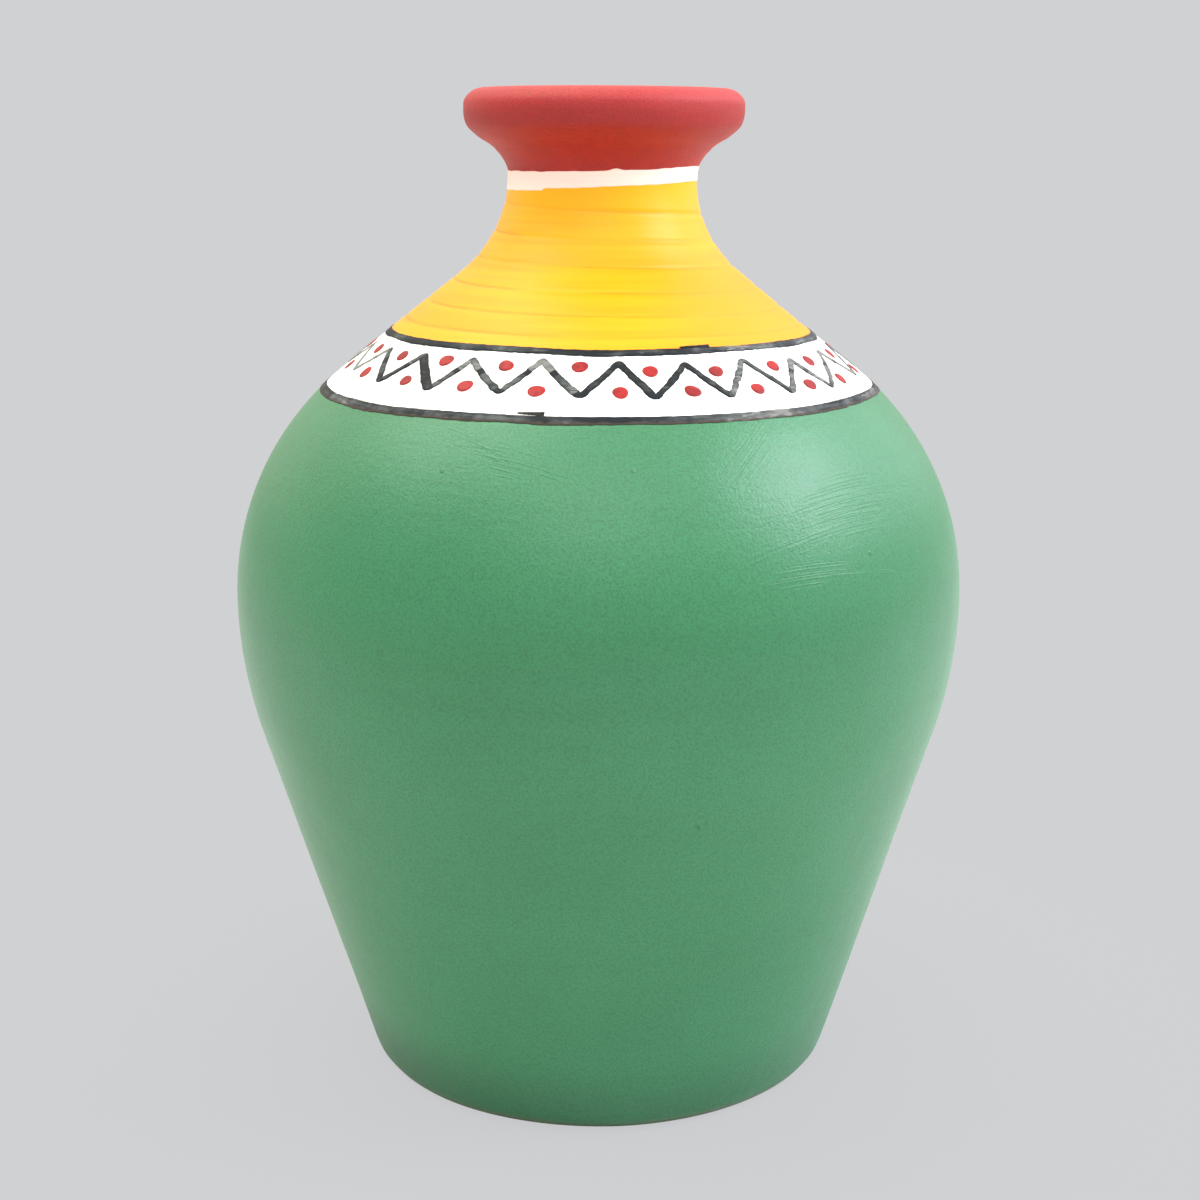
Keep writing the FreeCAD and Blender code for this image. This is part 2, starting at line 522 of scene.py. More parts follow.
# Sweeps of the bristles: degrees round, height, length and breadth in millimetres, and their slant
sweeps = [
    (42, 99, 21, 5, 3), (27, 106, 10, 6, 38), (30, 89.5, 18, 2.6, 1), (37, 95, 18, 4, 7),
    (-21, 107, 10, 3, -18), (-14, 105.2, 12, 3.5, -12), (80, 98, 16, 5, 18),
    (115, 103, 14, 5, 32), (160, 97, 16, 5, -20), (-100, 97, 15, 6, -12), (-145, 102, 14, 5, 15),
]
sweep_bend = 9.0
hairs_along = 45.0
hairs_across = 2300.0

# Grit under the paint and a nick in it: degrees round, height, breadth, and how far it stands up
flaws = [
    (-25.7, 103.4, 0.4, 0.1), (5.5, 104.1, 0.4, 0.1), (43.4, 91, 0.4, 0.12),
    (14.6, 54.5, 0.45, -0.2),
]

# High on the belly it is this share as wide, and the wall is this much longer than its rise
upper_share = 0.9
wall_slope = 1.3


def flat_place(around, height, angle, middle):
    """How far a place is to the right of and above a middle on the belly."""
    return (around - math.radians(angle)) * belly_radius * upper_share, height - middle * mm


green, bench, place = new_finish("green emulsion")
around, height = way_round(bench, place)
cloud = bench.noise(place, 45.0, 3.0)
bands = bench.streaked(place, 12.0, 420.0, 3.0)
grain = bench.noise(place, 3000.0, 2.0, 0.7)
patch = bench.noise(place, 260.0)
streaks = 0.0
for angle, middle, length, breadth, slant in sweeps:
    off, up = flat_place(around, height, angle, middle)
    up = up * wall_slope
    slope = math.radians(slant)
    along = off * math.cos(slope) + up * math.sin(slope)
    across = up * math.cos(slope) - off * math.sin(slope) + along * along * sweep_bend
    hairs = bench.vector(along * hairs_along, across * hairs_across, angle)
    hairs = bench.noise(hairs, 1.0, 1.0, 0.6)
    far = bench.maths("ABSOLUTE", along) / (length * mm)
    far = far + bench.maths("ABSOLUTE", across) / (breadth * mm)
    worn = bench.smooth(far + 1.8 * (patch - 0.5), 1.0, 0.4)
    streaks = worn * bench.smooth(hairs, 0.5, 0.64) + streaks
bumps = 0.0
for angle, middle, breadth, rise in flaws:
    off, up = flat_place(around, height, angle, middle)
    bumps = bench.smooth(off * off + up * up, (breadth * mm) ** 2, 0.0, 0.0, rise) + bumps
brushed = bench.streaked(place, 60.0, 1300.0)
high = bench.smooth(height, *brushed_heights)
colour = bench.mix(bench.smooth(cloud * 0.7 + bands * 0.3, 0.35, 0.65), deep_green, leaf_green)
colour = bench.mix(bench.smooth(grain, 0.3, 0.7, 0.71, 1.11), shade_and_grain_black, colour)
# Painted shade towards the foot, where the pot meets the table, deeper on the left than the right
painted_foot_shade = bench.smooth(height, *foot_shade_heights) * (0.23 - 0.1 * bench.maths("SINE", around))
colour = bench.mix(painted_foot_shade, colour, shade_and_grain_black)
# Painted shade in a band all round the widest place of the belly
off_widest = bench.maths("ABSOLUTE", height - belly_height)
colour = bench.mix(bench.smooth(off_widest, painted_shade_reach, 0.0, 0.0, 0.08), colour, shade_and_grain_black)
thin = bench.smooth(height + 2 * mm * cloud, *thin_heights)
colour = bench.mix(thin * 0.6, colour, clay_shows)
rough = grain * 0.04 + patch * 0.06 + bench.noise(place, 1700.0, 2.0, 0.6) * 0.055 * high
relief = rough + bands * 0.01 + streaks * 0.03 + brushed * high * 0.03 + cloud * 0.1 + bumps
coated(bench, colour, 0.46 - 0.06 * cloud, relief, 0.56)

section = layer(bare_foot, band_bottom, 1.2 * mm)
hand_over(thrown("green_belly_paint", section, green, facets=384), "green_belly_coat")


# --------------------------------------------------------------------------------------------------
# Yellow neck. Satin emulsion paint on the upper shoulder and the neck, brushed round with the
# wheel. It gathers in the spiral groove, which is darker and more orange: partly that paint, partly
# painted shade, weaker on the right.

ring_drop = 1.6 * mm
ring_height = 2.5 * mm
ring_bottom = neck_height - ring_drop
ring_top = ring_bottom + ring_height
under_ring = 1.1 * mm

# Heights where the painted shade on the right, and the pale paint at the neck, begin and are full
right_shade_heights = (133 * mm, 125 * mm)
pale_heights = (133 * mm, 141 * mm)

sun_yellow = pigment(237, 158, 6)
warm_yellow = pigment(236, 149, 4)
right_shaded_yellow = pigment(234, 144, 4)
pale_yellow = pigment(238, 163, 8)
gathered_and_shaded_orange = pigment(204, 128, 3)

yellow, bench, place = new_finish("yellow emulsion")
around, height = way_round(bench, place)
depth = groove(bench, around, height)
ribs = bench.streaked(place, 30.0, 900.0, 3.0)
broken = bench.smooth(bench.streaked(place, 60.0, 200.0), 0.35, 0.6)
colour = bench.mix(bench.smooth(ribs, 0.35, 0.65), warm_yellow, sun_yellow)
right = bench.maths("SINE", around)
# Painted shade: the lower neck is darker on the right, where the strongest light falls
right_shade = bench.smooth(right, 0.1, 0.7) * bench.smooth(height, *right_shade_heights)
colour = bench.mix(right_shade, colour, right_shaded_yellow)
colour = bench.mix(bench.smooth(height, *pale_heights), colour, pale_yellow)
# Darker and more orange in the groove: gathered paint and painted shade, less on the right
gathered_and_shaded = bench.smooth(depth, 0.4, 1.0) * broken * (0.55 - 0.3 * right)
colour = bench.mix(gathered_and_shaded, colour, gathered_and_shaded_orange)
bristles = bench.streaked(place, 90.0, 2600.0, 2.0, 0.6)
relief = ribs * 0.022 + bristles * 0.02 + bench.noise(place, 240.0) * 0.09
coated(bench, colour, 0.4 + 0.1 * ribs, relief, 0.28)

section = layer(band_top, ring_bottom + under_ring, 0.28 * mm)
hand_over(thrown("yellow_neck_paint", section, yellow, facets=384), "yellow_neck_coat")


# --------------------------------------------------------------------------------------------------
# Red lip. Matt brick-red emulsion paint over the outside of the lip, its rim and the first few
# millimetres of the mouth.

red_inside_depth = 3.8 * mm

# Painted shade round one height on the lip, from far to near. The top of the rim is paler, partly
# wear where hands hold it, partly a painted highlight where light falls on it from above
lip_shade_height = 151 * mm
lip_shade_reach = (4 * mm, 0.2 * mm)
worn_and_lit_heights = (152 * mm, 153.6 * mm)

brick_red = pigment(154, 14, 5)
dusty_red = pigment(161, 19, 8)
lip_shaded_red = pigment(148, 12, 7)
worn_and_lit_red = pigment(166, 28, 30)

red, bench, place = new_finish("red emulsion")
_, height = way_round(bench, place)
grain = bench.noise(place, 3400.0, 2.0, 0.7)
cloud = bench.noise(place, 130.0, 3.0)
ribs = bench.streaked(place, 50.0, 800.0)
colour = bench.mix(bench.smooth(cloud, 0.35, 0.65), brick_red, dusty_red)
# Painted shade in a band round the lip at one height
lip_shade = bench.smooth(bench.maths("ABSOLUTE", height - lip_shade_height), *lip_shade_reach)
colour = bench.mix(lip_shade * bench.smooth(cloud, 0.25, 0.6), colour, lip_shaded_red)
# Paler at the top of the rim: partly wear, partly a painted highlight where light falls from above
colour = bench.mix(bench.smooth(height + mm * cloud, *worn_and_lit_heights), colour, worn_and_lit_red)
colour = bench.mix(bench.smooth(grain, 0.3, 0.7, 0.75, 1.11), shade_and_grain_black, colour)
relief = grain * 0.08 + ribs * 0.06 + cloud * 0.12
coated(bench, colour, 0.62, relief, 0.51)

section = layer(ring_top - under_ring, top - red_inside_depth, 0.3 * mm, True)
hand_over(thrown("red_lip_paint", section, red, facets=320), "red_rim_coat")


# --------------------------------------------------------------------------------------------------
# White ring round the neck. One turn of a round brush with white paint, over the join of yellow and
# red. Its edges wander and it is thin enough in places for the red to show.

# Thickness of a brush mark, and how far its underside goes into the coat
mark = 0.12 * mm
sink = 0.03 * mm

# Flat brushwork is drawn with x round the pot at a radius, y up its slope and z off it, and laid on
# the painted pot along a line up its slope
laying, wire = new_tree(
    "laid on the pot", Drawing="Geometry", Slope="Object", Radius="Float", Finish="Material")


def laid(bench, drawing, wire):
    """Last nodes of a tree that lays flat brushwork on the pot."""
    slope = bench.node("GeometryNodeObjectInfo", {"Object": wire["Slope"]}, "Geometry")
    line = bench.node("GeometryNodeMeshToCurve", {"Mesh": slope})
    x, y, z = bench.split(bench.node("GeometryNodeInputPosition"))
    sockets = {"Curves": line, "Length": y}
    found = bench.node("GeometryNodeSampleCurve", sockets, "Position", mode="LENGTH")
    radius, _, height = bench.split(found)
    inward, _, upward = bench.split(found.other("Tangent"))
    place = round_the_axis(bench, radius + z * upward, x / wire["Radius"], height - z * inward)
    sockets = {"Geometry": drawing, "Position": by_hand(bench, place)}
    done(bench, bench.node("GeometryNodeSetPosition", sockets), wire["Finish"])


laid(laying, wire["Drawing"], wire)

slope_line = placed("slope", strung("slope", painted[:int(np.argmax(painted.imag)) + 1]))


class Drawing:
    """Brush strokes drawn flat. Their points keep how much paint is there and how far across."""

    # Shape of a stroke across its width: place from -1 to 1, and share of the paint's thickness.
    # The broad one has places underneath too, so that its underside follows the hollow neck
    fine = (
        (-1.0, 0.0), (-0.9, 0.6), (-0.55, 1.0), (0.0, 0.85), (0.55, 1.0), (0.9, 0.6), (1.0, 0.0))
    broad = (
        (-1.0, 0.0), (-0.93, 0.6), (-0.8, 0.9), (-0.6, 1.0), (-0.4, 1.0), (-0.2, 1.0),
        (0.0, 1.0), (0.2, 1.0), (0.4, 1.0), (0.6, 1.0), (0.8, 0.9), (0.93, 0.6), (1.0, 0.0),
        (0.5, 0.0), (0.01, 0.0), (-0.5, 0.0))

    def __init__(self, brush=fine):
        self.brush = brush
        self.points = []
        self.faces = []
        self.load = []
        self.side = []

    def stroke(self, middle, low, high, load, thickness=mark, closed=False):
        """Stroke along a line of x + y j, with its half widths to the right and left of its way."""
        way = np.gradient(middle)
        if closed:
            way[0] = way[-1] = way[1]
        normal = 1j * way / np.abs(way)
        first = len(self.points)
        ring = len(self.brush)
        for index, point in enumerate(middle):
            for place, share in self.brush:
                reach = high[index] if place > 0 else low[index]
                spot = point + normal[index] * place * reach
                height = thickness * share if share else -sink
                self.points.append((spot.real, spot.imag, height))
                self.load.append(load[index])
                self.side.append(place)
        for here in range(first, first + (len(middle) - 1) * ring, ring):
            there = here + ring
            for step in range(ring):
                after = (step + 1) % ring
                self.faces.append((here + step, there + step, there + after, here + after))
        if not closed:
            last = first + (len(middle) - 1) * ring
            self.faces.append(tuple(range(first, first + ring)))
            self.faces.append(tuple(range(last + ring - 1, last - 1, -1)))

    def piece(self, name, drawn_at, finish):
        """The strokes laid on the pot, where the drawing was made at a radius."""
        mesh = bpy.data.meshes.new(name)
        mesh.from_pydata(self.points, [], self.faces)
        for kept, values in (("load", self.load), ("side", self.side)):
            mesh.attributes.new(kept, "FLOAT", "POINT").data.foreach_set("value", values)
        return baked(name, mesh, laying, Slope=slope_line, Radius=drawn_at, Finish=finish)


def wander(chance, count, spacing, reach):
    """Smooth random waver along a line, as far as reach each way, meeting itself at its ends."""
    knots = max(3, round(count / spacing))
    values = chance.uniform(-reach, reach, knots)
    turns = np.arange(count) / (count - 1) * knots
    low = np.floor(turns).astype(int)
    share = (1 - np.cos(np.pi * (turns - low))) / 2
    return values[low % knots] * (1 - share) + values[(low + 1) % knots] * share


def hoop(drawn_at, spacing):
    """Angles once round the pot, from back to back, that a line round it is drawn at."""
    return np.linspace(-math.pi, math.pi, round(math.tau * drawn_at / spacing) + 1)


def swelling(turn, angle, reach):
    """One at an angle in degrees, falling away on both sides of it."""
    return np.exp(-(((np.degrees(turn) - angle) / reach) ** 2))


ring_white = pigment(253, 215, 207)
pink_white = pigment(251, 206, 196)

ring_paint, bench, place = new_finish("white ring paint")
load = bench.node("ShaderNodeAttribute", output="Fac", attribute_name="load")
bristle = bench.streaked(place, 120.0, 2600.0, 3.0)
thin = bench.smooth(load + 0.6 * (bristle - 0.5), 0.35, 0.7)
colour = bench.mix(thin, pink_white, ring_white)
coated(bench, colour, 0.5, bristle * 0.05, 0.43)

# The ring rises to the right and is narrower there, is wider where the turn ended over its start,
# and bulges at one place
ring_rise = 0.3 * mm
ring_narrowing = 0.3 * mm
overlap_angle = -100
overlap_reach = 64
overlap_drop = 0.25 * mm
bulge_angle = 7.5
bulge_reach = 3.5
bulge_rise = 0.35 * mm

chance = np.random.default_rng(7)
drawn_at = neck_radius + coat
turn = hoop(drawn_at, 0.35 * mm)
count = len(turn)
middle = station(painted, (ring_bottom + ring_top) / 2)
line = middle + (ring_rise * np.sin(turn) + wander(chance, count, 40, 0.08 * mm))
half = ring_height / 2
low = half - ring_narrowing * np.sin(turn) + wander(chance, count, 22, 0.12 * mm)
overlap = np.abs(np.degrees(turn) - overlap_angle) < overlap_reach
low += overlap_drop * overlap + wander(chance, count, 4, 0.06 * mm)
high = half + wander(chance, count, 30, 0.1 * mm) + wander(chance, count, 4, 0.06 * mm)
high += bulge_rise * swelling(turn, bulge_angle, bulge_reach)
load = 0.66 - 0.08 * np.sin(turn) + wander(chance, count, 25, 0.2)
ring = Drawing(Drawing.broad)
ring.stroke(turn * drawn_at + 1j * line, low, high, load, closed=True)
hand_over(ring.piece("white_ring_brushed_round", drawn_at, ring_paint), "white_neck_ring")


# --------------------------------------------------------------------------------------------------
# Black lines along the white ground. Each is one turn of a fine brush with thinned black paint, the
# lower one over green and white, the upper one over white and yellow. A second touch of the brush
# left dashes beside them.

low_line_width = 1.6 * mm
high_line_width = 1.35 * mm
low_line_tilt = 0.1 * mm
high_line_tilt = 0.55 * mm

dense_black = pigment(20, 24, 30)
thin_black = pigment(98, 100, 101)
brown_edge = pigment(72, 60, 54)
dry_grey = pigment(120, 118, 115)

# The lower edge is brown where the line lies below these heights, which is on the lower line only
brown_heights = (112 * mm, 111 * mm)

black, bench, place = new_finish("thinned black paint")
_, height = way_round(bench, place)
side = bench.node("ShaderNodeAttribute", output="Fac", attribute_name="side")
load = bench.node("ShaderNodeAttribute", output="Fac", attribute_name="load")
bristle = bench.streaked(place, 160.0, 2600.0, 3.0, 0.6)
pool = bench.noise(place, 700.0, 2.0)
uneven = 0.8 * (bristle - 0.5) + 0.6 * (pool - 0.5) + 0.25 * side * side
colour = bench.mix(bench.smooth(load + uneven, 0.15, 0.95), thin_black, dense_black)
brown = bench.smooth(side + pool, 0.3, -0.3) * bench.smooth(height, *brown_heights)
colour = bench.mix(brown * 0.8, colour, brown_edge)
fleck = bench.streaked(place, 420.0, 3200.0, 2.0, 0.6)
colour = bench.mix(bench.smooth(fleck - 0.6 * load, 0.25, 0.4), colour, dry_grey)
coated(bench, colour, 0.6, bristle * 0.03, 0.17)

dash_points = 24
dash_thickness = 1.2 * mark


def black_line(name, height, width, tilt, seed, dashes, dry_runs):
    """Line round the pot. Its dashes are given by angle, length, rise off the line and half width.

    Its dry runs are given by angle, reach in degrees, and how little paint they have.
    """
    chance = np.random.default_rng(seed)
    slope = station(painted, height)
    drawn_at = girth(painted, slope)
    turn = hoop(drawn_at, 0.25 * mm)
    count = len(turn)
    rise = slope - tilt * np.sin(turn) + wander(chance, count, 60, 0.16 * mm)
    half = width / 2
    low = half + wander(chance, count, 26, 0.14 * mm) + wander(chance, count, 2.5, 0.07 * mm)
    high = half + wander(chance, count, 34, 0.08 * mm) + wander(chance, count, 3, 0.05 * mm)
    load = 0.76 + wander(chance, count, 60, 0.14) + wander(chance, count, 12, 0.14)
    for angle, reach, lack in dry_runs:
        load -= lack * swelling(turn, angle, reach)
    drawing = Drawing()
    drawing.stroke(turn * drawn_at + 1j * rise, low, high, load, closed=True)
    for angle, length, above, half_width in dashes:
        middle = math.radians(angle) * drawn_at
        dash = np.linspace(middle - length / 2, middle + length / 2, dash_points)
        lift = np.interp(dash, turn * drawn_at, rise) + half + above
        taper = half_width * np.linspace(0.15, 1.0, dash_points) ** 0.6
        taper = taper + chance.uniform(-0.05, 0.05, dash_points) * mm
        drawing.stroke(dash + 1j * lift, taper, taper, np.ones(dash_points), dash_thickness)
    return drawing.piece(name, drawn_at, black)


dashes = [
    (-12.6, 3.9 * mm, 0.26 * mm, 0.38 * mm), (98, 3.0 * mm, 0.1 * mm, 0.25 * mm),
    (-140, 4.0 * mm, 0.15 * mm, 0.25 * mm)]
dry_runs = [
    (34, 9, 0.33), (-60, 12, 0.04), (-23, 9, 0.08), (75, 8, 0.25), (130, 15, 0.3),
    (-110, 12, 0.3)]
lower = black_line(
    "black_line_under_white", band_bottom, low_line_width, low_line_tilt, 11, dashes, dry_runs)
hand_over(lower, "lower_black_line")

dashes = [
    (22.4, 2.2 * mm, 0.1 * mm, 0.3 * mm), (25.6, 3.6 * mm, 0.12 * mm, 0.36 * mm),
    (160, 3.5 * mm, 0.05 * mm, 0.25 * mm)]
dry_runs = [(38, 9, 0.32), (-62, 10, 0.2), (70, 10, 0.2), (-150, 14, 0.3), (120, 12, 0.25)]
upper = black_line(
    "black_line_over_white", band_top, high_line_width, high_line_tilt, 12, dashes, dry_runs)
hand_over(upper, "upper_black_line")


# --------------------------------------------------------------------------------------------------
# Zigzag. Twenty-two teeth of thinned black paint, two strokes of a fine brush for each. The strokes
# overlap at peaks and valleys, and the first teeth were touched up, so that their caps are paler
# and the overlaps on their legs darker.

peak_gap = 1.3 * mm
valley_gap = 3.0 * mm
stroke_width = 1.0 * mm
tooth_count = 22
peak_height = band_top - peak_gap
valley_height = band_bottom + valley_gap

# Half widths of a stroke as shares of the whole width, the falling ones a little wider
least_half, most_half = 0.5, 0.6
falling_share = 1.08
heavy_tooth = 1
heavy_half = 0.85

# A stroke bows by chance, by so many millimetres at most, and runs a little past its corners. A
# dry one is narrower and more ragged
most_bow = 0.18
overrun = 0.25 * mm
dry_narrowing = 0.35
dry_raggedness = 1.6

# Paint on a stroke, what a washed one lacks on its leg and again on its cap, and how far up the
# tooth leg, touched up place and cap are
full_load = 0.88
touched_up_load = 1.05
leg_lack = 0.34
cap_lack = 0.2
leg_from, touched_from, touched_to, cap_from = 0.12, 0.55, 0.67, 0.66

# Where the painter put the teeth in front: degrees round, and millimetres off the row
front_peaks = [
    (-62.6, 0), (-46.2, -0.1), (-30.7, 0), (-13.0, 0.5), (4.6, 0), (20.0, -0.5), (35.6, -0.45),
    (51.2, -1.4), (68.3, -1.1)]
front_valleys = [
    (-70.7, 0.9), (-53.7, 0.15), (-37.3, 0), (-20.4, 0.3), (-3.7, -0.1), (11.3, -0.5),
    (27.3, -0.8), (42.9, -1.1), (57.0, -1.35), (76.2, -0.9)]


def all_round(front, chance):
    """Angles and rises of a whole row: those in front, then the rest about evenly at the back."""
    angles, rises = np.array(front, float).T
    steps = tooth_count - len(front) + 2
    back = np.linspace(angles[-1], angles[0] + 360, steps)[1:-1]
    ease = np.linspace(rises[-1], rises[0], steps)[1:-1]
    back = back + chance.uniform(-0.6, 0.6, len(back))
    ease = ease + chance.uniform(-0.2, 0.2, len(back))
    return np.append(angles, back), np.append(rises, ease) * mm


# How washed out each tooth is, and how dry the brush was for each of its two strokes: by chance at
# the back, as the painter did them in front
chance = np.random.default_rng(22)
washed = chance.choice([0.0, 0.15, 0.7], tooth_count, p=[0.5, 0.3, 0.2])
washed[:9] = [0.6, 0.3, 0.9, 1.0, 0.1, 0.05, 0.15, 0.35, 0.7]
dryness = chance.choice([0.0, 0.1, 0.3], 2 * tooth_count, p=[0.5, 0.3, 0.2])
dryness[:12] = [0.62, 0.05, 0.1, 0.0, 0.05, 0.0, 0.0, 0.0, 0.0, 0.0, 0.0, 0.05]
dryness[12:20] = [0.35, 0.2, 0.35, 0.3, 0.3, 0.6, 0.45, 0.5]
dryness[40:] = [0.7, 0.75, 0.8, 0.85]

peaks_at = station(painted, peak_height)
valleys_at = station(painted, valley_height)
drawn_at = girth(painted, (peaks_at + valleys_at) / 2)
corners = []
for front, row_at in ((front_valleys, valleys_at), (front_peaks, peaks_at)):
    angles, rises = all_round(front, chance)
    corners.append(np.radians(angles) * drawn_at + 1j * (row_at + rises))
valleys, peaks = corners
valleys = np.append(valleys, valleys[0] + math.tau * drawn_at)

zigzag = Drawing()
for tooth in range(tooth_count):
    peak = peaks[tooth]
    for falling, start, stop in ((0, valleys[tooth], peak), (1, peak, valleys[tooth + 1])):
        way = stop - start
        steps = np.linspace(0, 1, round(abs(way) / (0.14 * mm)) + 1)
        climb = 1 - steps if falling else steps
        count = len(steps)
        bow = chance.uniform(-most_bow, most_bow) * mm * np.sin(np.pi * steps)
        past = overrun * way / abs(way)
        line = (start - past) + (way + 2 * past) * steps + 1j * way / abs(way) * bow
        blunt = np.sqrt(np.clip(1 - np.abs(2 * steps - 1) ** 14, 0.05, 1))
        wash = washed[tooth]
        dry = dryness[2 * tooth + falling]
        half = chance.uniform(least_half, most_half) * stroke_width
        half *= falling_share if falling else 1.0
        if tooth == heavy_tooth and falling:
            half, wash = heavy_half * stroke_width, 0.0
        half *= 1 - dry_narrowing * dry
        low, high = [
            half + (1 + dry_raggedness * dry) * (
                wander(chance, count, 6, 0.1 * mm) + chance.uniform(-0.05, 0.05, count) * mm)
            for _ in range(2)]
        load = full_load - leg_lack * wash * (climb > leg_from)
        load = load - cap_lack * wash * (climb > cap_from)
        touched = (climb > touched_from) & (climb < touched_to) & (wash > 0.2)
        load = np.where(touched, touched_up_load, load)
        load = load - dry + wander(chance, count, 8, 0.08)
        thickness = mark * chance.uniform(0.85, 1.25)
        zigzag.stroke(line, low * blunt, high * blunt, load, thickness)
hand_over(zigzag.piece("brushed_zigzag", drawn_at, black), "black_zigzag")


# --------------------------------------------------------------------------------------------------
# Red dots. Dabs of the tip of a round brush, one over each valley and one under each peak of the
# zigzag. Each is a low cushion of paint, a little longer than wide, darker where the brush pressed
# twice.

dot_radius = 1.05 * mm
high_dot_share = 0.58
low_dot_share = 0.5

# A dab's least and most size round the pot, up its slope and in thickness, and its most twist
least_size = (1.08, 0.98, 0.9)
most_size = (1.3, 1.14, 1.2)
most_twist = 0.45

dab_red = pigment(152, 15, 20)
pressed_red = pigment(128, 8, 14)

# Dots in front, as the teeth are given
front_high_dots = [
    (-70.0, 0.9), (-54.1, 0.7), (-38.1, 0.8), (-21.5, 0.6), (-4.3, 0.7), (11.4, -0.3),
    (26.8, -0.8), (43.5, -0.7), (58.1, -0.8), (75.3, -0.8)]
front_low_dots = [
    (-62.7, 0.4), (-45.3, 0.3), (-28.9, 0.3), (-12.8, 0), (4.3, -0.2), (19.3, -0.2),
    (34.5, -0.6), (50.0, -1.0), (64.1, -1.2)]

dab_paint, bench, place = new_finish("red dots")
patch = bench.smooth(bench.noise(place, 650.0, 1.0), 0.46, 0.54)
colour = bench.mix(patch, dab_red, pressed_red)
coated(bench, colour, 0.5, patch * 0.02, 0.3)

# A dab repeated on a row of points, each turned and stretched by chance, then laid on the pot
row, wire = new_tree(
    "row of dabs", Row="Geometry", Dab="Object", Slope="Object", Radius="Float", Seed="Int",
    Finish="Material")
dab = row.node("GeometryNodeObjectInfo", {"Object": wire["Dab"]}, "Geometry")
sockets = {0: least_size, 1: most_size, "Seed": wire["Seed"]}
size = row.node("FunctionNodeRandomValue", sockets, data_type="FLOAT_VECTOR")
sockets = {0: (0.0, 0.0, -most_twist), 1: (0.0, 0.0, most_twist), "Seed": wire["Seed"] + 1.0}
twist = row.node("FunctionNodeRandomValue", sockets, data_type="FLOAT_VECTOR")
sockets = {"Points": wire["Row"], "Instance": dab, "Rotation": twist, "Scale": size}
dabs = row.node("GeometryNodeInstanceOnPoints", sockets)
laid(row, row.node("GeometryNodeRealizeInstances", {"Geometry": dabs}), wire)


def dab_shape(spokes=22):
    """Low cushion of paint, flat underneath, a little pointed on one side."""
    shape = bmesh.new()
    rings = []
    for share, height in ((1.0, -sink), (0.93, 0.6 * mark), (0.7, mark), (0.35, 0.9 * mark)):
        ring = []
        for spoke in range(spokes):
            angle = math.tau * spoke / spokes
            wobble = 1 + 0.09 * math.cos(angle) ** 3 + 0.03 * math.sin(3 * angle)
            reach = dot_radius * share * wobble
            spot = (reach * math.cos(angle), reach * math.sin(angle), height)
            ring.append(shape.verts.new(spot))
        rings.append(ring)
    for under, over in zip(rings, rings[1:]):
        for spoke in range(spokes):
            after = (spoke + 1) % spokes
            shape.faces.new((under[spoke], under[after], over[after], over[spoke]))
    shape.faces.new(rings[-1])
    shape.faces.new(reversed(rings[0]))
    mesh = bpy.data.meshes.new("dab")
    shape.to_mesh(mesh)
    shape.free()
    return mesh


dab_model = placed("dab", dab_shape())


def dotted(name, front, height, seed):
    """Row of dots whose middle is at a height, with its places in front."""
    angles, rises = all_round(front, np.random.default_rng(seed))
    slope = station(painted, height)
    drawn_at = girth(painted, slope)
    mesh = bpy.data.meshes.new(name)
    places = zip(np.radians(angles) * drawn_at, slope + rises)
    mesh.from_pydata([(x, y, 0) for x, y in places], [], [])
    return baked(
        name, mesh, row, Dab=dab_model, Slope=slope_line, Radius=drawn_at, Seed=seed,
        Finish=dab_paint)


high_dots = valley_height + high_dot_share * (band_top - valley_height)
low_dots = band_bottom + low_dot_share * (peak_height - band_bottom)
over_valleys = dotted("red_dots_over_valleys", front_high_dots, high_dots, 3)
hand_over(over_valleys, "upper_red_dots")
under_peaks = dotted("red_dots_under_peaks", front_low_dots, low_dots, 4)
hand_over(under_peaks, "lower_red_dots")

for helper in (dab_model, slope_line):
    bpy.data.objects.remove(helper)


# --------------------------------------------------------------------------------------------------
# The table and the light. A wide pale table that runs into an equally pale background. A strong
# soft box stands high on the right, weaker ones high on the left, in front and behind, and a low
# one behind on each side lights the edges.

backdrop_grey = pigment(208, 209, 211)
pale_grey = pigment(200, 201, 202)
paler_grey = pigment(205, 206, 207)
shaded_grey = pigment(148, 149, 150)
front_light = (0.992, 1.044, 0.94, 1.0)
back_light = (0.908, 0.833, 0.75, 1.0)

table_reach = 3.0
table_corners = 96

# Round the foot a little of the table's own shade shows, and none beyond the second radius
shade_radii = (40 * mm, 130 * mm)
least_glow = 0.88

table, bench, place = new_finish("pale table")
mottle = bench.noise(place, 6.0)
seen = bench.node("ShaderNodeLightPath", output="Is Camera Ray")
colour = bench.mix(seen, bench.mix(mottle, pale_grey, paler_grey), shaded_grey)
matt = bench.node("ShaderNodeBsdfDiffuse", {"Color": colour})
x, y, _ = bench.split(place)
far = bench.smooth(bench.maths("SQRT", x * x + y * y), *shade_radii, least_glow, 1.0)
glow = bench.node("ShaderNodeEmission", {"Color": backdrop_grey, "Strength": 1.0})
surface = bench.node("ShaderNodeMixShader", {0: seen * far, 1: matt, 2: glow})
bench.node("ShaderNodeOutputMaterial", {"Surface": surface})

mesh = bpy.data.meshes.new("table")
angles = [math.tau * corner / table_corners for corner in range(table_corners)]
edge = [(table_reach * math.cos(angle), table_reach * math.sin(angle), 0) for angle in angles]
mesh.from_pydata(edge, [], [tuple(range(table_corners))])
mesh.materials.append(table)
placed("table", mesh)

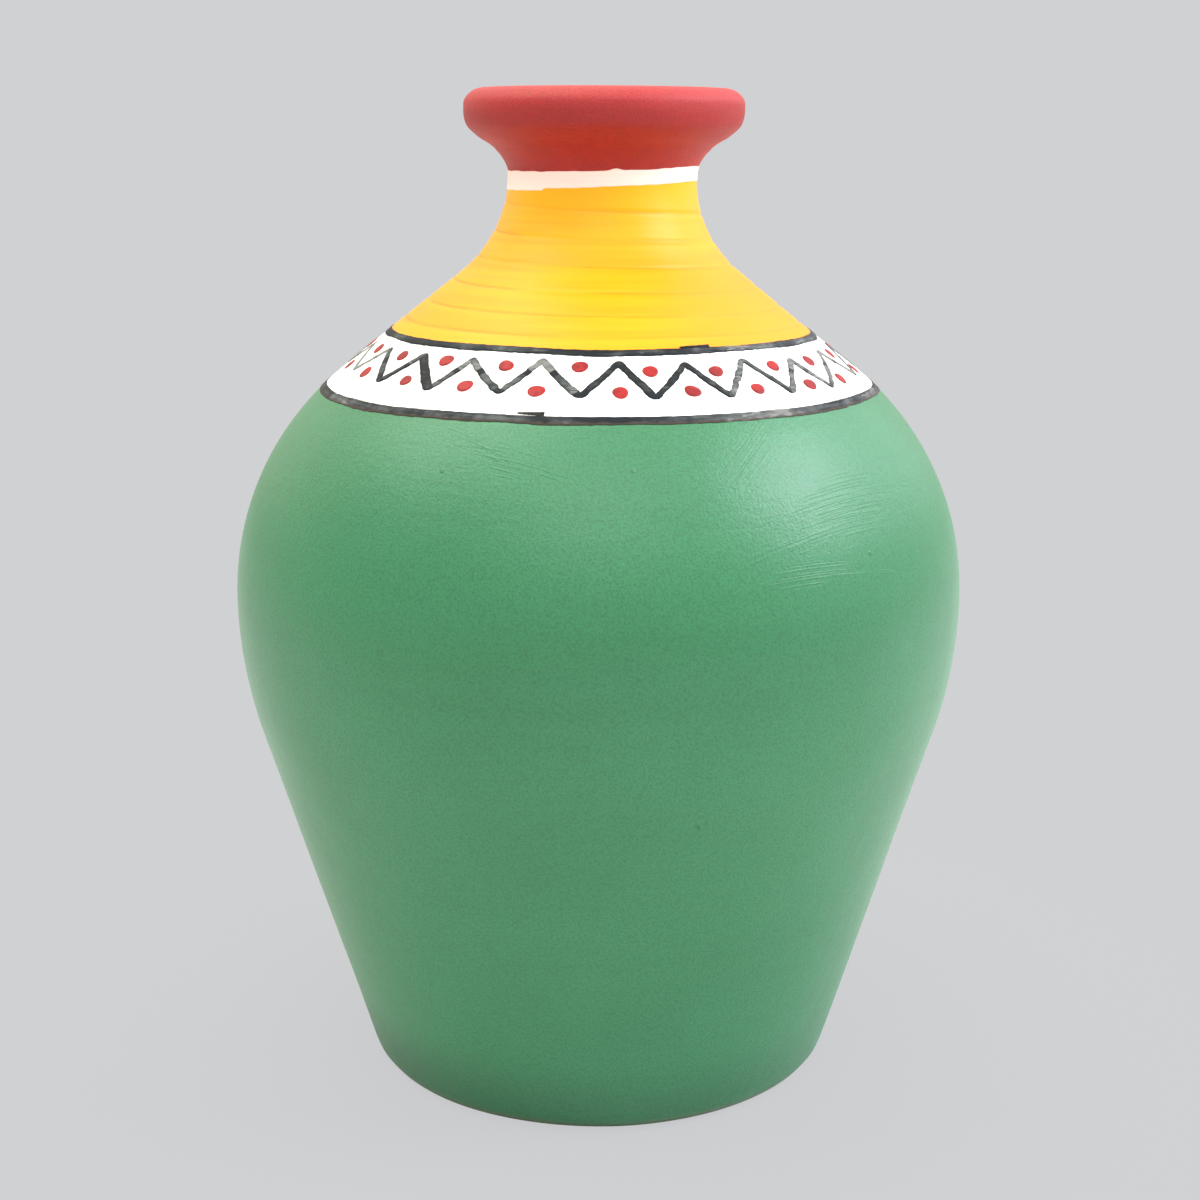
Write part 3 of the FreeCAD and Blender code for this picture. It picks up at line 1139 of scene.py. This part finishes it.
room = bpy.data.worlds.new("room")
bpy.context.scene.world = room
room.use_nodes = True
room.node_tree.nodes.clear()
bench = Bench(room.node_tree)
seen = bench.node("ShaderNodeLightPath", output="Is Camera Ray")
_, y, _ = bench.split(bench.node("ShaderNodeTexCoord", output="Generated"))
light = bench.mix(bench.smooth(y, -0.2, 0.6), front_light, back_light)
colour = bench.mix(seen, light, backdrop_grey)
background = bench.node("ShaderNodeBackground", {"Color": colour})
bench.node("ShaderNodeOutputWorld", {0: background})

# Square soft lights, all aimed at the belly from one distance: degrees from the front to the right,
# degrees up, size, power and colour
light_distance = 0.9
light_aim = np.array([0.0, 0.0, 0.09])
soft_lights = {
    "right_soft_box": (82, 37, 0.45, 7.9, (0.95, 1.0, 1.12)),
    "right_rim_light": (125, 25, 0.6, 1.6, (0.9, 1.0, 1.12)),
    "left_rim_light": (-125, 25, 0.6, 0.75, (1.08, 1.0, 0.8)),
    "left_high_fill": (-90, 60, 0.6, 5.35, (0.9, 1.0, 0.86)),
    "front_high_fill": (0, 50, 0.6, 3.0, (1.0, 1.0, 0.98)),
    "back_high_light": (180, 60, 0.8, 4.9, (1.12, 1.0, 0.9)),
}
for name, (azimuth, elevation, size, power, colour) in soft_lights.items():
    lamp = bpy.data.lights.new(name, "AREA")
    lamp.size, lamp.energy, lamp.color = size, power, colour
    right, up = math.radians(azimuth), math.radians(elevation)
    away = [math.sin(right) * math.cos(up), -math.cos(right) * math.cos(up), math.sin(up)]
    stand = placed(name, lamp)
    stand.location = light_aim + np.array(away) * light_distance
    stand.rotation_euler = (math.radians(90) - up, 0, right)
    stand.visible_camera = False

camera_place = (0.0002, -0.3065, 0.1477)
camera_tilt = 13.42

camera = bpy.data.cameras.new("camera")
camera.lens = 58.16
camera.sensor_width = 36.0
camera.clip_start = 0.01
viewer = placed("camera", camera)
viewer.location = camera_place
viewer.rotation_euler = (math.radians(90 - camera_tilt), 0.0, 0.0)
bpy.context.scene.camera = viewer
bpy.context.scene.view_settings.view_transform = "Standard"
